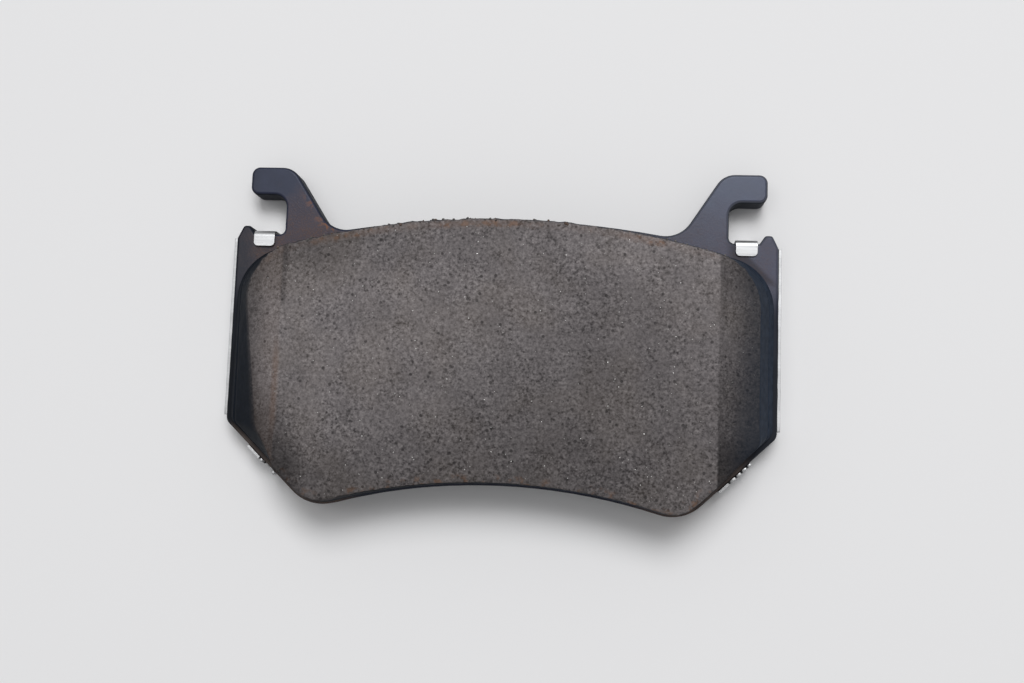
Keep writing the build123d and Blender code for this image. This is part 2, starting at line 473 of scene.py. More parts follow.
# paler and darker patches of the ground face: how much each one adds, and where it lies
groundPatches = (
    # darker towards the foot: partly painted shade of light from above, partly the compound's own tone
    (-0.42, {"top": (10, -34)}),
    (0.12, {"right": (5, -30), "bottom": (-38, -16)}),
    (0.2, {"right": (5, -30), "bottom": (-38, -16), "top": (10, -34)}),
    (0.17, {"left": (10, 35), "bottom": (6, 18), "right": (51, 50)}),
    (0.08, {"left": (10, 40), "top": (10, -34)}),
    (-0.24, {"right": (-28, -46), "bottom": (8, 20)}),
    (-0.12, {"right": (-14, -26), "bottom": (7, 17)}),
    (-0.09, {"right": (8, -2), "bottom": (12, 19)}),
    (-0.08, {"right": (-44, -47), "bottom": (-8, 0), "top": (15, 9)}),
    (-0.13, {"left": (10, 22), "right": (46, 34), "bottom": (-18, -6), "top": (18, 6)}),
    (0.1, {"left": (42, 47), "right": (50.6, 50.2), "top": (5, -6)}),
)
# the darker left toe, by how far a place is out along this slope
leftToe = {
    "slope": (-0.72, -0.69),
    "out": (46 * mm, 56 * mm),
    "zone": {"right": (-41, -48)},
    "darker": 0.55,
}
# end chamfers: the left one is ground clean and warm, the right one keeps a dark stain;
# each span says how far past the chamfer's line a mark starts and is full
chamfer = {
    "line": 50.4 * mm,
    "left": (0, 0.6 * mm),
    "leftOut": (2 * mm, 9.5 * mm),
    "right": (-0.2 * mm, 0.4 * mm),
    "rightOut": (0, 9.5 * mm),
    "crestFrom": (0.5 * mm, 1 * mm),    # a pale crest along the left chamfer's start
    "crestTo": (5 * mm, 3 * mm),
    "crest": {"bottom": (-4, 6)},
    "crestPale": 0.08,
    "seamAt": 0.2 * mm,         # a dark seam, this far before the left chamfer's line
    "seamWide": (0.8 * mm, 0.4 * mm),
    "seam": {"bottom": (4, 8)},
    "seamDark": 0.36,
    "dragAt": 0.7 * mm,         # a streak of dragged rust, this far past it
    "dragWander": 0.4 * mm,
    "dragWide": (1.3 * mm, 0.2 * mm),
    "low": {"top": (4, -26)},
    "lowest": {"top": (-19, -28)},
    "high": {"bottom": (8, 16)},
    # how much darker each chamfer is: all over, further out, and at these heights
    "leftDark": {"all": 0.04, "out": 0.42, "lowOut": 0.3},
    "rightDark": {"all": 0.27, "out": 0.22, "low": 0.1, "high": 0.12, "lowest": 0.3, "most": 0.86},
}


def groundColour(finish, grit, fineGrit, pits):
    mottle = finish.grain(**compound["mottle"])
    contrast = finish.grain(**compound["contrast"]).rise(0.32, 0.68) * 0.5 + 0.65
    contrast = contrast * (finish.zone(**compound["lowGrit"]) * 0.2 + 0.92)
    grits = (grit - 0.5) * compound["gritShare"] + (fineGrit - 0.5) * compound["fineShare"]
    tone = grits * contrast + (mottle - 0.5) * compound["mottleShare"] + 0.49
    stops = [(0.2, compound["dark"]), (0.5, compound["base"]), (0.85, compound["light"])]
    colour = finish.add("ShaderNodeValToRGB", {"stops": stops}, {"Fac": tone}, "Color")
    tint = finish.grain(**compound["tint"]).rise(0.35, 0.65)
    colour = finish.mix(tint * compound["warmMix"], colour, compound["warm"])
    return finish.mix(pits * compound["pitMix"], colour, compound["pit"])


def compoundRust(finish, edge, crown, ragged, pastLeft, rightEnd):
    # rust sits along the crown edge, at the foot of the face and where grinding dragged it
    spots = finish.grain(**compound["rustSpots"]).rise(0.5, 0.66)
    band = (crown + ragged).rise(0.2, 0.9) * (crown + ragged).rise(2.6, 1.2)
    rusty = reduce(Wire.most, [finish.zone(**stretch) for stretch in compound["rusty"]])
    band = band * (rusty * 0.7 + 0.3)
    low = (edge + ragged).rise(2.4, 0.8) * finish.zone(**compound["lowRust"]) * spots
    rust = (band * compound["crownRust"]).most(low * compound["footRust"]) * (spots * 0.7 + 0.3)
    drag = pastLeft - ragged * chamfer["dragWander"] - chamfer["dragAt"]
    drag = drag.size().rise(*chamfer["dragWide"]) * finish.zone(**compound["drag"])
    return rust.most(drag * compound["dragRust"]) * (1 - rightEnd * 0.8)


def patchLevel(finish):
    # the ground face darkens towards its foot, partly as painted shade of light from above, with paler
    # and darker patches
    level = 1
    for share, sides in groundPatches:
        level = finish.zone(**sides) * share + level
    acrossX, acrossY = leftToe["slope"]
    toe = (finish.x * acrossX + finish.y * acrossY).rise(*leftToe["out"])
    return level * (1 - toe * finish.zone(**leftToe["zone"]) * leftToe["darker"])


def shadeChamfers(finish, colour, pastLeft, pastRight, leftEnd, rightEnd):
    # darken the ground face by its patches and chamfers, then warm the left end and stain the right
    leftOut = pastLeft.rise(*chamfer["leftOut"])
    rightOut = pastRight.rise(*chamfer["rightOut"])
    low = finish.zone(**chamfer["low"])
    seam = (pastLeft + chamfer["seamAt"]).size().rise(*chamfer["seamWide"])
    seam = seam * finish.zone(**chamfer["seam"])
    crest = pastLeft.rise(*chamfer["crestFrom"]) * pastLeft.rise(*chamfer["crestTo"])
    crest = crest * finish.zone(**chamfer["crest"])
    level = patchLevel(finish) * (1 - seam * chamfer["seamDark"]) * (crest * chamfer["crestPale"] + 1)
    dark = chamfer["leftDark"]
    level = level * (1 - leftEnd * (leftOut * (low * dark["lowOut"] + dark["out"]) + dark["all"]))
    dark = chamfer["rightDark"]
    darker = rightOut * dark["out"] + low * dark["low"] + dark["all"]
    darker = darker + finish.zone(**chamfer["high"]) * dark["high"]
    darker = darker + finish.zone(**chamfer["lowest"]) * dark["lowest"]
    colour = finish.shade(colour, level * (1 - rightEnd * darker.least(dark["most"])))
    warm = finish.mix(0.5, compound["base"], compound["rust"])
    colour = finish.mix(leftEnd * (1 - leftOut) * 0.12, colour, warm)
    smear = finish.grain(**compound["smear"])
    stained = rightEnd * (rightOut + low * 0.3 + (smear - 0.5) * 0.5).rise(0.1, 1.4)
    return finish.mix(stained * compound["stainMix"], colour, compound["stain"])


def bareCompound(finish, edge, ragged):
    # 1 where the compound is bare: ground, or rubbed through its coat
    rubbed = finish.grain(**compound["rubbed"]) - 0.5
    raggedOut, rubbedOut = compound["outWander"]
    raggedUp, rubbedUp = compound["upWander"]
    outwards = finish.x.size() - ragged * raggedOut + rubbed * rubbedOut
    upwards = finish.z + ragged * raggedUp + rubbed * rubbedUp
    toe = outwards.rise(*compound["rubbedOut"]) * upwards.rise(*compound["rubbedUp"])
    toe = toe * finish.zone(**compound["rubbedToe"])
    bare = (edge + ragged * 0.25).rise(-0.06, 0.12).most(toe * 0.8)
    scuffed = (edge + ragged * 0.5).rise(-1.4, 0.1) * finish.zone(**compound["scuffed"])
    return bare.most(scuffed * 0.5)


def frictionCompound():
    finish = Finish("groundFrictionCompound", Specular_IOR_Level=0.08)
    grit = finish.grain(**compound["grit"])
    fineGrit = finish.grain(**compound["fineGrit"])
    pits = finish.cells(**compound["pits"]).rise(0.24, 0.13)
    pits = pits * finish.grain(**compound["pitted"]).rise(0.45, 0.55)
    edge = finish.mark("edgeReach")
    crown = finish.mark("crownReach")
    ragged = (finish.grain(**compound["ragged"]) - 0.5) * 1.6
    pastLeft = -chamfer["line"] - finish.x
    pastRight = finish.x - chamfer["line"]
    leftEnd = pastLeft.rise(*chamfer["left"])
    rightEnd = pastRight.rise(*chamfer["right"])

    colour = groundColour(finish, grit, fineGrit, pits)
    rust = compoundRust(finish, edge, crown, ragged, pastLeft, rightEnd)
    colour = finish.mix(rust * compound["rustMix"], colour, compound["rust"])
    colour = shadeChamfers(finish, colour, pastLeft, pastRight, leftEnd, rightEnd)
    brink = (crown + ragged * 0.4).rise(0.45, 0.1)
    colour = finish.mix(brink * compound["brinkMix"], colour, compound["dark"])
    coatTone = finish.grain(**compound["coatTone"]).rise(0.2, 0.8)
    coat = finish.mix(coatTone, compound["coat"], compound["coatLight"])
    # painted light: the coat paler towards the right end
    coat = finish.shade(coat, finish.zone(**compound["coatLitRight"]) * 2.1 + 1)
    bare = bareCompound(finish, edge, ragged)
    finish.drive(
        Base_Color=finish.mix(bare, coat, colour),
        Roughness=compound["roughness"] + bare * compound["bareRoughness"],
    )
    rough = grit * 0.5 + fineGrit * 0.3 - pits * 0.8
    coatGrain = finish.grain(**compound["coatGrain"]) * 0.6
    finish.emboss(rough * bare + coatGrain * (1 - bare), compound["depth"])
    return finish


paint(frictionBlock, frictionCompound())
fit(frictionBlock, "friction_compound", "friction_lining")


# Steel flecks and edge crumbs, scattered by node trees
scatter = {
    "turnLow": (-0.5, -0.5, -3.14),
    "turnHigh": (0.5, 0.5, 3.14),
    "turnSeed": 5,
    "sizeSeed": 6,
    "shapeLow": (0.6, 0.6, 1.0),
    "shapeHigh": (1.5, 1.0, 1.4),
    "shapeSeed": 7,
    "crumpleSize": 0.25 * mm,
}
# Edge is how far a place is inside the ground face, less than 0 down its walls, and Crown is
# how far it is from the crown wall, both in mm
flecks = {
    "Density": 74000.0,
    "Seed": 11,
    "Smallest": 0.06 * mm,
    "Largest": 0.2 * mm,
    "Flatness": 0.35,
    "Detail": 1,
    "Crumple": 0.02 * mm,
    "Edge From": 0.5,
    "Edge To": 0.8,
    "Crown From": 300.0,        # wider than the pad, so they lie all over the face
    "Crown To": 301.0,
}
crumbs = {
    "Density": 420000.0,
    "Seed": 4,
    "Smallest": 0.08 * mm,
    "Largest": 0.46 * mm,
    "Flatness": 0.8,
    "Detail": 2,
    "Crumple": 0.2 * mm,
    "Edge From": -1.2,
    "Edge To": -0.6,
    "Crown From": 0.3,
    "Crown To": 0.6,
}
fleckSteel = {
    "dark": (0.25, 0.24, 0.235),
    "light": (0.62, 0.61, 0.6),
    "tone": {"size": 1.1 * mm, "detail": 1},
    "dull": {"inner": (49, 50.5)},      # duller on the end chamfers
    "dullness": 0.6,
    "roughness": 0.34,
}
crumbCompound = {
    "dark": (0.03, 0.03, 0.032),
    "light": (0.13, 0.12, 0.115),
    "rust": (0.12, 0.065, 0.04),
    "tone": {"size": 0.6 * mm, "roughness": 0.6},
    "rustSpots": {"size": 2.4 * mm, "detail": 1, "shift": 3.0},
    "depth": 0.05 * mm,
}


def drawEach(board, kind, low, high, seed):
    # a random value for each point
    values = {"Min": low, "Max": high, "Seed": seed}
    return board.add("FunctionNodeRandomValue", {"data_type": kind}, values, "Value")


def scatterTree(name, finish, sizes):
    # a tree with one input for each size, and the identifier of each input
    tree = bpy.data.node_groups.new(name, "GeometryNodeTree")
    ids = {}
    tree.interface.new_socket("Geometry", in_out="INPUT", socket_type="NodeSocketGeometry")
    tree.interface.new_socket("Geometry", in_out="OUTPUT", socket_type="NodeSocketGeometry")
    for label, value in sizes.items():
        kind = "NodeSocketInt" if isinstance(value, int) else "NodeSocketFloat"
        socket = tree.interface.new_socket(label, in_out="INPUT", socket_type=kind)
        ids[label] = socket.identifier
    board = Board(tree)
    surface = board.add("NodeGroupInput", output="Geometry")
    given = surface.socket.node.outputs
    take = {label: Wire(board, board.pick(given, label)) for label in sizes}
    edge, crown = (
        board.add("GeometryNodeInputNamedAttribute", values={"Name": reach}, output="Attribute")
        for reach in ("edgeReach", "crownReach")
    )
    wanted = edge.rise(take["Edge From"], take["Edge To"])
    wanted = wanted * crown.rise(take["Crown To"], take["Crown From"])
    points = board.add(
        "GeometryNodeDistributePointsOnFaces",
        {"distribute_method": "RANDOM"},
        {"Mesh": surface, "Density": wanted * take["Density"], "Seed": take["Seed"]},
        "Points",
    )
    rotation = Wire(board, board.pick(points.socket.node.outputs, "Rotation"))
    turn = (scatter["turnLow"], scatter["turnHigh"], scatter["turnSeed"])
    values = {"Rotation": rotation, "Rotate By": drawEach(board, "FLOAT_VECTOR", *turn)}
    turned = board.add("FunctionNodeRotateRotation", {"rotation_space": "LOCAL"}, values)
    scale = drawEach(board, "FLOAT", take["Smallest"], take["Largest"], scatter["sizeSeed"])
    shape = (scatter["shapeLow"], scatter["shapeHigh"], scatter["shapeSeed"])
    flat = board.add("ShaderNodeCombineXYZ", values={"X": 1.0, "Y": 1.0, "Z": take["Flatness"]})
    shape = board.vectors("MULTIPLY", drawEach(board, "FLOAT_VECTOR", *shape), flat)
    values = {"Radius": 1.0, "Subdivisions": take["Detail"]}
    lump = board.add("GeometryNodeMeshIcoSphere", values=values, output="Mesh")
    values = {"Points": points, "Instance": lump, "Rotation": turned}
    values["Scale"] = board.vectors("SCALE", shape, scale)
    placed = board.add("GeometryNodeInstanceOnPoints", values=values)
    whole = board.add("GeometryNodeRealizeInstances", values={"Geometry": placed})
    values = {"Scale": 1 / scatter["crumpleSize"], "Detail": 1.0}
    bend = board.add("ShaderNodeTexNoise", values=values, output="Color")
    bend = board.vectors("SUBTRACT", bend, (0.5, 0.5, 0.5))
    bend = board.vectors("SCALE", bend, take["Crumple"])
    whole = board.add("GeometryNodeSetPosition", values={"Geometry": whole, "Offset": bend})
    values = {"Geometry": whole, "Material": finish.material}
    whole = board.add("GeometryNodeSetMaterial", values=values)
    out = tree.nodes.new("NodeGroupOutput")
    tree.links.new(whole.socket, out.inputs["Geometry"])
    return tree, ids


def growScatter(name, host, finish, sizes):
    tree, ids = scatterTree(name, finish, sizes)
    piece = addObject(name, host.data.copy())
    modifier = piece.modifiers.new("scatter", "NODES")
    modifier.node_group = tree
    for label, value in sizes.items():
        modifier[ids[label]] = value
    settle(piece)
    paint(piece, finish)
    return piece


def paintFlecks():
    finish = Finish("fleckSteel", Metallic=0.9)
    tone = finish.grain(**fleckSteel["tone"])
    steel = finish.mix(tone.rise(0.35, 0.65), fleckSteel["dark"], fleckSteel["light"])
    finish.drive(
        Base_Color=finish.shade(steel, 1 - finish.zone(**fleckSteel["dull"]) * fleckSteel["dullness"]),
        Roughness=fleckSteel["roughness"] + tone * 0.2,
    )
    return finish


def paintCrumbs():
    finish = Finish("crumbCompound", Roughness=0.9)
    tone = finish.grain(**crumbCompound["tone"])
    rust = finish.grain(**crumbCompound["rustSpots"]).rise(0.5, 0.65)
    grey = finish.mix(tone.rise(0.3, 0.7), crumbCompound["dark"], crumbCompound["light"])
    finish.drive(Base_Color=finish.mix(rust * 0.6, grey, crumbCompound["rust"]))
    finish.emboss(tone, crumbCompound["depth"])
    return finish


steelFlecks = growScatter("steel_flecks", frictionBlock, paintFlecks(), flecks)
fit(steelFlecks, "friction_compound")
edgeCrumbs = growScatter("edge_crumbs", frictionBlock, paintCrumbs(), crumbs)
fit(edgeCrumbs, "friction_compound")
print("flecks:", len(steelFlecks.data.polygons), "crumbs:", len(edgeCrumbs.data.polygons))


# Outer shim: the clip-on sheet, with burred flange tops and one tab set a little askew
shim = {
    "flatWithin": math.radians(0.5),
    "cutPitch": 1.3 * mm,       # rows of points along the upright sheet, for the burrs and teeth
    "cutReach": 0.5 * mm,       # the sheet that gets them starts this far inside the plate's sides
    "burrSize": 2.3 * mm,
    "burrDepth": 0.14 * mm,
    "burrSide": 0.6,            # a burr leans out by this share of its height
    "burrShift": Vector((5, 0, 0)),
    "brink": 0.1 * mm,          # points this near the flange tops are moved
    "tabsFrom": 20 * mm,        # the two hanging tabs lie above this
    "tabsIn": 3 * mm,           # and at least this far in from the plate's sides
    "tabShift": -0.3 * mm,      # they sit a little to the left
    "tabBend": 2 * mm,          # and lean that way over this much of their height
    "tabTilt": 0.30 * mm,       # the right one has sprung up at its bend
    "tabLap": 3.9 * mm,         # how far they hang down over the plate's front
    "edgeRound": 0.07 * mm,
    "edgeSteps": 2,
    "edgeAngle": math.radians(50),
    "toeDrop": 3 * mm,          # the toe tabs lie at least this far below the side corners
    "toeIn": 2.5 * mm,          # and reach this far in from the toe edge
    "toeTab": (7.9 * mm, 18.1 * mm),
    # where each tooth of the toe tabs starts and ends, down the sloping edge from the side corner
    "evenTeeth": (8.2, 9.82, 10.42, 11.74, 12.34, 13.66, 14.26, 15.58, 16.18, 17.8),
    "rightTeeth": (8.5, 9.35, 9.9, 11.1, 11.6, 12.8, 13.3, 14.8, 15.3, 18.4),
    "leftTeeth": (8.0, 12.1, 12.55, 13.2, 13.6, 14.6, 15.0, 16.2, 16.8, 17.4),
    "notch": (0.5 * mm, 0.1 * mm),      # the gaps' floors lie between these depths, under the tops
    "notchDeepen": 1.6 * mm,
    "bentTeeth": (13.4 * mm, 16.5 * mm),
    "bentHigh": 2.2 * mm,       # height of a tooth that bends down
    "bentDrop": 2.4 * mm,
}
# its spring steel, with rolling lines and duller sheared tops on the side flanges
steel = {
    "dark": (0.43, 0.435, 0.45),
    "light": (0.585, 0.59, 0.595),
    "lines": {"size": 0.5 * mm, "detail": 3, "roughness": 0.7, "stretch": (0.03, 1, 1)},
    "stain": {"size": 6 * mm, "detail": 3, "roughness": 0.6, "shift": 2.0},
    "sheared": {"inner": (65, 65.05)},
    "roughness": 0.34,
    "shearedRoughness": 0.16,   # added on the sheared tops
    "depth": 0.02 * mm,
}


def moved(value, before, after):
    # value carried along from one row of places to another
    for index in range(len(before) - 1):
        if before[index] <= value <= before[index + 1]:
            share = (value - before[index]) / (before[index + 1] - before[index])
            return after[index] + share * (after[index + 1] - after[index])
    return value + (after[0] - before[0] if value < before[0] else after[-1] - before[-1])


def setTeeth(place, toes, toothTop):
    # the toe tabs' teeth are uneven, and on the left two are bent down
    side = 1 if place.x > 0 else -1
    corner, out, down = toes[side]
    offset = place - corner
    along = offset.dot(down)
    first, last = shim["toeTab"]
    if offset.dot(out) < -shim["toeIn"] or not first < along < last:
        return
    teeth = shim["rightTeeth"] if side > 0 else shim["leftTeeth"]
    after = moved(along / mm, shim["evenTeeth"], teeth) * mm
    place += down * (after - along)
    deepest, highest = shim["notch"]
    if toothTop - deepest < place.z < toothTop - highest:
        place.z -= shim["notchDeepen"]
    low, high = shim["bentTeeth"]
    if side < 0 and low < after < high and place.z > toothTop - shim["bentHigh"]:
        place.z -= shim["bentDrop"]


def cutRows(shape, low, high, sideX):
    # add rows of points along the upright sheet at the plate's sides
    cuts = int((high.y - low.y) / shim["cutPitch"])
    for step in range(1, cuts):
        y = low.y + step * shim["cutPitch"]
        tall = [f for f in shape.faces if max(abs(v.co.x) for v in f.verts) > sideX - shim["cutReach"]]
        parts = {e for f in tall for e in f.edges} | {v for f in tall for v in f.verts} | set(tall)
        bmesh.ops.bisect_plane(shape, geom=list(parts), plane_co=(0, y, 0), plane_no=(0, 1, 0))


def roundEdges(piece):
    bevel = piece.modifiers.new("bevel", "BEVEL")
    bevel.width = shim["edgeRound"]
    bevel.segments = shim["edgeSteps"]
    bevel.limit_method = "ANGLE"
    bevel.angle_limit = shim["edgeAngle"]
    normals = piece.modifiers.new("normals", "WEIGHTED_NORMAL")
    normals.keep_sharp = True


def makeShim():
    shape = mergedCopy("outer_shim")
    bmesh.ops.dissolve_limit(
        shape, angle_limit=shim["flatWithin"], verts=shape.verts[:], edges=shape.edges[:]
    )
    low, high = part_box("outer_shim")
    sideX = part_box("backing_plate")[1].x
    cutRows(shape, low, high, sideX)
    toes = {side: toeFrame(side) for side in (-1, 1)}
    cornerY = toes[1][0].y
    flangeTop = max(v.co.z for v in shape.verts if abs(v.co.x) > sideX)
    toothTop = max(v.co.z for v in shape.verts if v.co.y < cornerY - shim["toeDrop"])
    for vertex in shape.verts:
        place = vertex.co
        setTeeth(place, toes, toothTop)
        if abs(place.x) > sideX and place.z > flangeTop - shim["brink"]:
            place.z += noise.noise(place / shim["burrSize"]) * shim["burrDepth"]
            sideways = noise.noise(place / shim["burrSize"] + shim["burrShift"])
            place.x += sideways * shim["burrDepth"] * shim["burrSide"]
        if place.y > shim["tabsFrom"] and abs(place.x) < sideX - shim["tabsIn"]:
            place.x += shim["tabShift"] * smooth(0, shim["tabBend"], place.z)
            if place.x > 0 and place.z > flangeTop:
                place.z += shim["tabTilt"] * (1 - (high.y - place.y) / shim["tabLap"])
    piece = pieceFrom("clip_on_shim", shape)
    roundOff(piece)
    roundEdges(piece)
    return settle(piece)


def springSteel():
    finish = Finish("springSteel", Metallic=1.0)
    lines = finish.grain(**steel["lines"])
    stain = finish.grain(**steel["stain"])
    tone = (lines - 0.5) * 0.5 + (stain - 0.5) * 0.4 + 0.5
    sheared = finish.zone(**steel["sheared"])
    finish.drive(
        Base_Color=finish.mix(tone.rise(0.2, 0.8), steel["dark"], steel["light"]),
        Roughness=steel["roughness"] + stain * 0.14 + sheared * steel["shearedRoughness"],
    )
    finish.emboss(lines, steel["depth"])
    return finish


clipShim = makeShim()
paint(clipShim, springSteel())
fit(clipShim, "spring_steel", "outer_shim")
print("shim:", len(clipShim.data.polygons), "faces")


# Backing plate: satin black coat, dusted with rust where the block was ground, with painted shade
# beside the block and a painted sheen towards its upper right
plate = {
    # the coat colours carry a blue tint, a painted reflection of blue surroundings
    "coat": (0.0122, 0.0142, 0.0330),
    "worn": (0.0192, 0.0225, 0.0470),
    # the cut edges: partly their own duller finish, partly painted shade
    "edge": (0.007, 0.008, 0.012),
    # painted highlight: a paler colour on the rolled edges at the upper right, where they catch the
    # light
    "rolled": (0.045, 0.048, 0.062),
    "dust": (0.13, 0.072, 0.046),
    "orange": (0.21, 0.095, 0.05),
    "grime": (0.105, 0.09, 0.083),
    "cloud": {"size": 7 * mm, "detail": 3, "roughness": 0.6},
    "peel": {"size": 0.5 * mm, "shift": 1.0},
    "streak": {
        "size": 0.45 * mm, "detail": 3, "roughness": 0.65, "stretch": (1, 1, 0.12), "shift": 2.0
    },
    "speck": {"size": 0.42 * mm, "detail": 3, "roughness": 0.75, "shift": 4.0},
    "patch": {"size": 4 * mm, "shift": 6.0},
    "flakes": {"size": 1.3 * mm, "detail": 3, "roughness": 0.6, "shift": 12.0},
    "depth": 0.04 * mm,
    "dustMix": 0.85,
    "flakeMix": 0.8,
    "roughness": 0.3,
    "dustReach": (37 * mm, 25 * mm),    # dust thins out towards the hooks, in wandering patches
    "dustWander": 6 * mm,
    "dustBottom": {"bottom": (4, 20)},
    "dustLeft": {"right": (50, -10)},
    "leftRim": {"right": (-58, -63)},
    "toes": {"inner": (30, 38), "right": (60, 56), "top": (-21, -26)},  # dusty and grimy
    # painted shade: strips beside the block, kept as dark as the cut edges where the block's walls
    # keep the light off
    "shadedToeLedge": {"top": (3, -5), "inner": (30, 45)},
    "shadedSideLedge": {"inner": (57, 60), "top": (14, 5)},
    "rolledEdge": {"left": (-10, 20), "bottom": (8, 14)},
    # painted sheen: the coat is paler at the upper right, around the right hook, where the light
    # catches it
    "lit": {"left": (30, 60), "bottom": (10, 16)},
    # painted shade: the plate's left ear and the strip below it, shaded by the block's wall
    "leftEarShade": {"right": (-54, -57), "top": (29, 25)},
    "litPaler": 0.4,
    "earShadeDarker": 0.6,
    "cornerShadeDarker": 0.85,
    # painted shade: a dark patch on the plate at the block's top right corner, standing in for a
    # contact shadow
    "blockCornerShade": {"bottom": (13, 15.5), "left": (52, 55)},
    "cornerShadeSpan": (79.5 * mm, 77.8 * mm),       # its slanting side, by how far right and up it is
    # flakes of orange rust, near the slanting back of the left arm
    "flaked": {"right": (10, -10), "top": (36, 30)},
    "flakeSpan": (3.2 * mm, 0.4 * mm),
    "armSlant": math.radians(33.0),
    "armBack": 51.98 * mm,      # the back of each arm, at the top of the hooks
    "armTop": 40.51 * mm,
}


def plateCoat(finish, cloud, facing, side, ledgeShade, rim, corner):
    coat = finish.mix(cloud.rise(0.3, 0.75), plate["coat"], plate["worn"])
    # painted shade: the edge colour on cut edges and on the ledges beside the block
    coat = finish.mix(side.most(ledgeShade).most(rim * 0.45), coat, plate["edge"])
    # painted highlight on the rolled edges
    rolled = facing.rise(0.995, 0.93) * facing.rise(0.45, 0.75)
    coat = finish.mix(rolled * finish.zone(**plate["rolledEdge"]), coat, plate["rolled"])
    # painted sheen at the upper right; painted shade on the left ear and at the block's corner
    lit = finish.zone(**plate["lit"]) * plate["litPaler"]
    earShade = finish.zone(**plate["leftEarShade"]) * plate["earShadeDarker"]
    return finish.shade(coat, lit + 1 - earShade - corner * plate["cornerShadeDarker"])


def plateFlakes(finish, wall):
    slant = math.tan(plate["armSlant"])
    back = finish.x.size() + (plate["armTop"] - finish.y) * slant - plate["armBack"]
    flakes = finish.grain(**plate["flakes"]).rise(0.48, 0.62)
    flakes = flakes * back.rise(*plate["flakeSpan"]) * finish.zone(**plate["flaked"])
    return flakes * (1 - wall)


def plateCoating():
    # its blue specular tint is also a painted reflection of blue surroundings
    finish = Finish("plateCoating", Specular_IOR_Level=0.42, Specular_Tint=(0.8, 0.87, 1, 1))
    cloud = finish.grain(**plate["cloud"])
    peel = finish.grain(**plate["peel"])
    streak = finish.grain(**plate["streak"])
    speck = finish.grain(**plate["speck"]).rise(0.44, 0.66)
    patch = finish.grain(**plate["patch"]).rise(0.3, 0.7)
    # wall is 1 on every face that isn't flat, and side grows as a face gets steeper
    facing = finish.facing()
    wall = facing.rise(0.998, 0.95)
    side = facing.rise(0.97, 0.5)
    rim = finish.zone(**plate["leftRim"])
    toes = finish.zone(**plate["toes"])
    # painted shade on the ledges beside the block
    ledgeShade = finish.zone(**plate["shadedToeLedge"]).most(finish.zone(**plate["shadedSideLedge"]) * 0.85)
    # painted shade at the block's top right corner
    corner = (finish.x + finish.y).rise(*plate["cornerShadeSpan"]) * finish.zone(**plate["blockCornerShade"])

    reach = finish.y + (patch - 0.5) * plate["dustWander"]
    dusty = reach.rise(*plate["dustReach"]) * (1 - wall) * finish.zone(**plate["dustBottom"])
    dusty = dusty * (finish.zone(**plate["dustLeft"]) * 0.6 + 0.4) * (1 - rim * 0.75)
    dusty = dusty.most(toes * 0.9)
    dust = dusty * (patch * 0.5 + 0.5) * (speck * 0.5 + 0.45)
    flakes = plateFlakes(finish, wall)
    colour = plateCoat(finish, cloud, facing, side, ledgeShade, rim, corner)
    colour = finish.mix(dust * plate["dustMix"], colour, plate["dust"])
    colour = finish.mix(toes * (1 - side) * (patch * 0.4 + 0.45), colour, plate["grime"])
    rough = plate["roughness"] + cloud * 0.08 + dust.most(flakes).most(rim * 0.3) * 0.4
    finish.drive(
        Base_Color=finish.mix(flakes * plate["flakeMix"], colour, plate["orange"]),
        Roughness=rough + wall.most(ledgeShade).most(corner * 0.35) * 0.45,
    )
    coatGrain = (peel * 0.3 + speck * dusty * 0.5) * (1 - wall)
    finish.emboss(coatGrain + streak * wall, plate["depth"])
    return finish


# Underlayer: the same dark coat as the block's walls, paler towards its right end as painted light
# from that side
underlayer = {
    # tinted blue, a painted reflection of blue surroundings
    "dark": (0.0045, 0.0065, 0.0105),
    "light": (0.008, 0.011, 0.017),
    "tone": {"size": 1.6 * mm, "detail": 3, "roughness": 0.6},
    "bumps": {"size": 0.9 * mm, "detail": 3, "roughness": 0.6, "shift": 3.0},
    "litRight": {"left": (30, 60)},
    "depth": 0.08 * mm,
}
# thin layers that hardly show, with the nodes that each finish goes on
layers = {
    "curedAdhesive": {
        "nodes": ["bonding_film"],
        "dark": (0.03, 0.014, 0.01),
        "light": (0.06, 0.03, 0.02),
        "size": 2 * mm,
        "roughness": 0.4,
        "metal": 0.0,
    },
    "shimRubber": {
        "nodes": ["shim_front_rubber", "shim_rear_rubber"],
        "dark": (0.012, 0.012, 0.013),
        "light": (0.024, 0.024, 0.025),
        "size": 1.5 * mm,
        "roughness": 0.6,
        "metal": 0.0,
    },
    "coreSteel": {
        "nodes": ["shim_core"],
        "dark": (0.38, 0.38, 0.39),
        "light": (0.52, 0.52, 0.52),
        "size": 1.2 * mm,
        "roughness": 0.35,
        "metal": 1.0,
    },
    "shimGlue": {
        "nodes": ["shim_adhesive"],
        "dark": (0.2, 0.19, 0.16),
        "light": (0.3, 0.29, 0.25),
        "size": 2 * mm,
        "roughness": 0.4,
        "metal": 0.0,
    },
}
layerDepth = 0.02 * mm


def coatedUnderlayer():
    finish = Finish("coatedUnderlayer", Specular_IOR_Level=0.08)
    tone = finish.grain(**underlayer["tone"])
    colour = finish.mix(tone.rise(0.3, 0.7), underlayer["dark"], underlayer["light"])
    # painted light: paler towards the right end
    finish.drive(
        Base_Color=finish.shade(colour, finish.zone(**underlayer["litRight"]) * 2.2 + 1),
        Roughness=0.6 + tone * 0.2,
    )
    finish.emboss(finish.grain(**underlayer["bumps"]), underlayer["depth"])
    return finish


def plainLayer(name, layer):
    finish = Finish(name, Metallic=layer["metal"])
    tone = finish.grain(layer["size"], detail=3, roughness=0.6)
    finish.drive(
        Base_Color=finish.mix(tone.rise(0.3, 0.7), layer["dark"], layer["light"]),
        Roughness=layer["roughness"] + tone * 0.1,
    )
    finish.emboss(tone, layerDepth)
    return finish


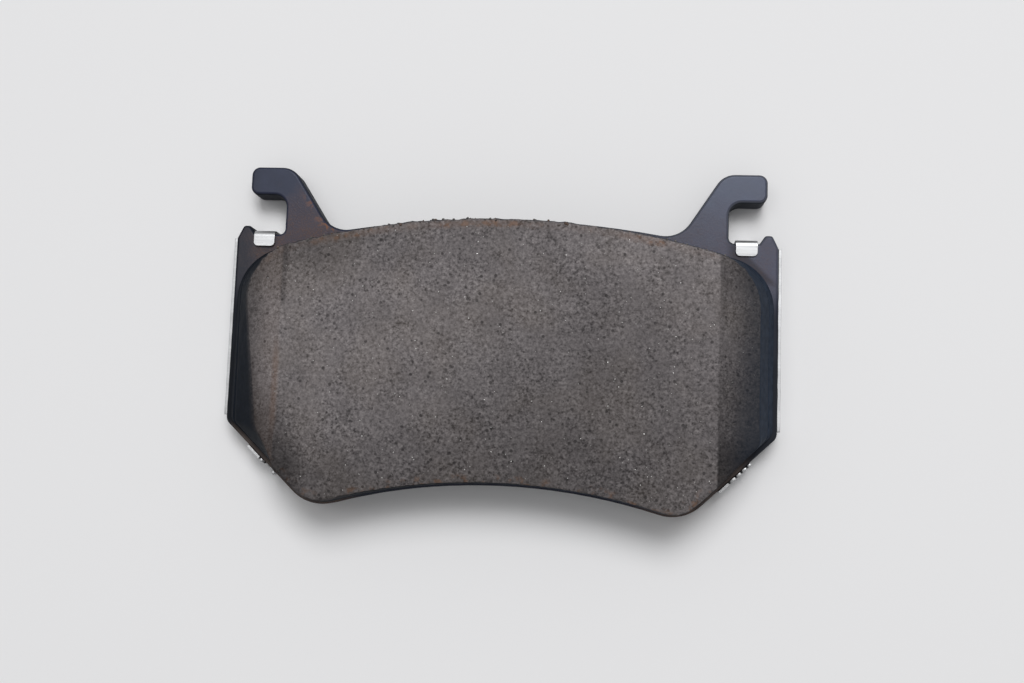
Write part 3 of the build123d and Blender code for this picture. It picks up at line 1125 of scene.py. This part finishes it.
paint(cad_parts["backing_plate"], plateCoating())
paint(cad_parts["underlayer"], coatedUnderlayer())
for layerName, layer in layers.items():
    layerFinish = plainLayer(layerName, layer)
    for node in layer["nodes"]:
        paint(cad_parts[node], layerFinish)
print("materials done")


# Stage, lamps and camera
stage = {
    "size": 6.0,
    "colour": (0.80, 0.80, 0.81),
    "clouded": (0.788, 0.788, 0.79785),
    "cloud": {"size": 0.4},
    "backdrop": 0.62,           # strength of the white around it, as the camera sees it
    "walls": 0.35,              # and as it lights the pad
}
key = {"from": (0.05, 0.56, 0.95), "spread": 26.0, "strength": 1.39}
lamps = {
    "right": {"place": (0.2, 0.31, 0.8), "size": 0.36, "power": 1.55},
    "left": {"place": (-0.31, 0.16, 0.8), "size": 0.36, "power": 0.52},
}
camera = {
    "place": (0.02303, -0.029744, 0.274144),
    "aim": (0.002927, -0.000788, 0.0073),
    "roll": -32.98086,
    "lens": 40.0,
    "sensor": 36.0,
    "nearest": 0.01,
}


def layFloor():
    half = stage["size"] / 2
    mesh = bpy.data.meshes.new("floor")
    corners = [(-half, -half, 0), (half, -half, 0), (half, half, 0), (-half, half, 0)]
    mesh.from_pydata(corners, [], [(0, 1, 2, 3)])
    floor = addObject("floor", mesh)
    finish = Finish("floorPaint", Roughness=0.9)
    cloud = finish.grain(**stage["cloud"])
    finish.drive(Base_Color=finish.mix(cloud, stage["colour"], stage["clouded"]))
    paint(floor, finish)


def hang(light, power, place):
    # a light that points from its place to the middle of the pad
    light.energy = power
    holder = addObject(light.name, light)
    holder.rotation_euler = (-Vector(place)).to_track_quat("-Z", "Y").to_euler()
    return holder


def hangKey():
    light = bpy.data.lights.new("key", "SUN")
    light.angle = math.radians(key["spread"])
    hang(light, key["strength"], key["from"])


def hangLamp(name, lamp):
    light = bpy.data.lights.new(name, "AREA")
    light.shape = "DISK"
    light.size = lamp["size"]
    hang(light, lamp["power"], lamp["place"]).location = lamp["place"]


def setCamera():
    body = bpy.data.cameras.new("camera")
    body.lens = camera["lens"]
    body.sensor_width = camera["sensor"]
    body.clip_start = camera["nearest"]
    holder = addObject("camera", body)
    place = Vector(camera["place"])
    turn = (Vector(camera["aim"]) - place).to_track_quat("-Z", "Y").to_matrix()
    turn = turn @ Matrix.Rotation(math.radians(camera["roll"]), 3, "Z")
    holder.matrix_world = Matrix.Translation(place) @ turn.to_4x4()
    bpy.context.scene.camera = holder


def lightRoom():
    world = bpy.data.worlds.new("room")
    world.use_nodes = True
    room = Board(world.node_tree)
    seen = room.add("ShaderNodeLightPath", output="Is Camera Ray")
    walls, backdrop = (
        room.add("ShaderNodeBackground", values={"Color": (1, 1, 1, 1), "Strength": stage[part]})
        for part in ("walls", "backdrop")
    )
    blend = room.add("ShaderNodeMixShader", values={0: seen, 1: walls, 2: backdrop})
    room.tree.links.new(blend.socket, room.tree.nodes["World Output"].inputs["Surface"])
    bpy.context.scene.world = world


layFloor()
hangKey()
for lampName, lamp in lamps.items():
    hangLamp(lampName, lamp)
setCamera()
lightRoom()
bpy.context.scene.view_settings.view_transform = "Standard"

print("stage and camera done")
